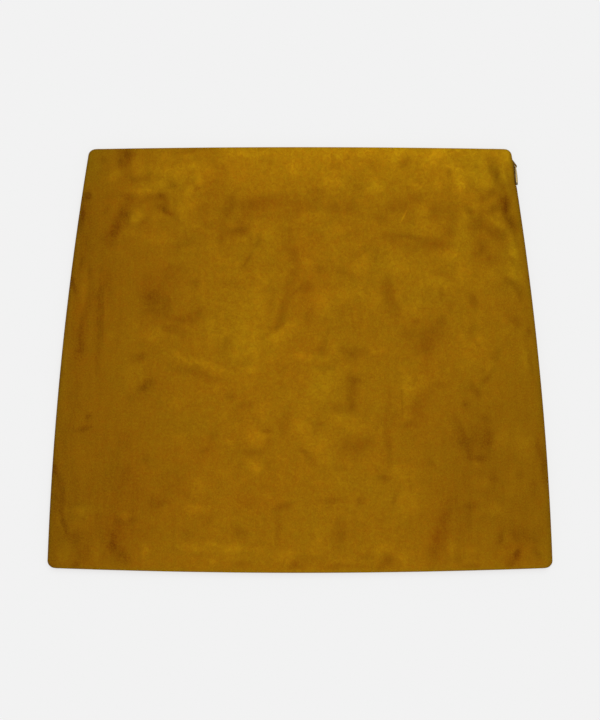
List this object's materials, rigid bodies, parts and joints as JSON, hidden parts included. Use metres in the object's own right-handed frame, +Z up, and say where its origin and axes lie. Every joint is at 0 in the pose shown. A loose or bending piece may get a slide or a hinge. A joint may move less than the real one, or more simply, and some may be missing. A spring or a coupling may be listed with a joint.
{
  "type": "suede mini skirt, laid flat, with a side zip",
  "caption": "Short A-line suede skirt laid flat, with gently curved sides, turned waist and hem, and a zip in one side seam.",
  "frame": {"origin": "centre of the skirt's box, on the surface that it lies on", "axes": "+X across the skirt towards the zip, +Y up the skirt towards the waist, +Z up from the surface"},
  "size_m": [0.4392, 0.37, 0.0057],
  "materials": {
    "suede": "brushed suede nap, golden tan, patchy",
    "zip_tape": "woven tape, dyed to match",
    "brown_lacquer": "satin lacquer",
    "pale_gold": "satin, pale"
  },
  "bodies": {
    "skirt": {"front_panel": "suede", "back_panel": "suede", "zip_tape_front": "zip_tape", "zip_tape_back": "zip_tape", "zip_slider": "brown_lacquer"},
    "pull": {"zip_pull": "pale_gold"}
  },
  "joints": [
    {"name": "pull_swing", "type": "hinge", "parent": "skirt", "child": "pull", "pos_m": [0.1872, 0.1685, 0.0028], "axis": [0, 0, 1], "range_deg": [0, 150]}
  ]
}
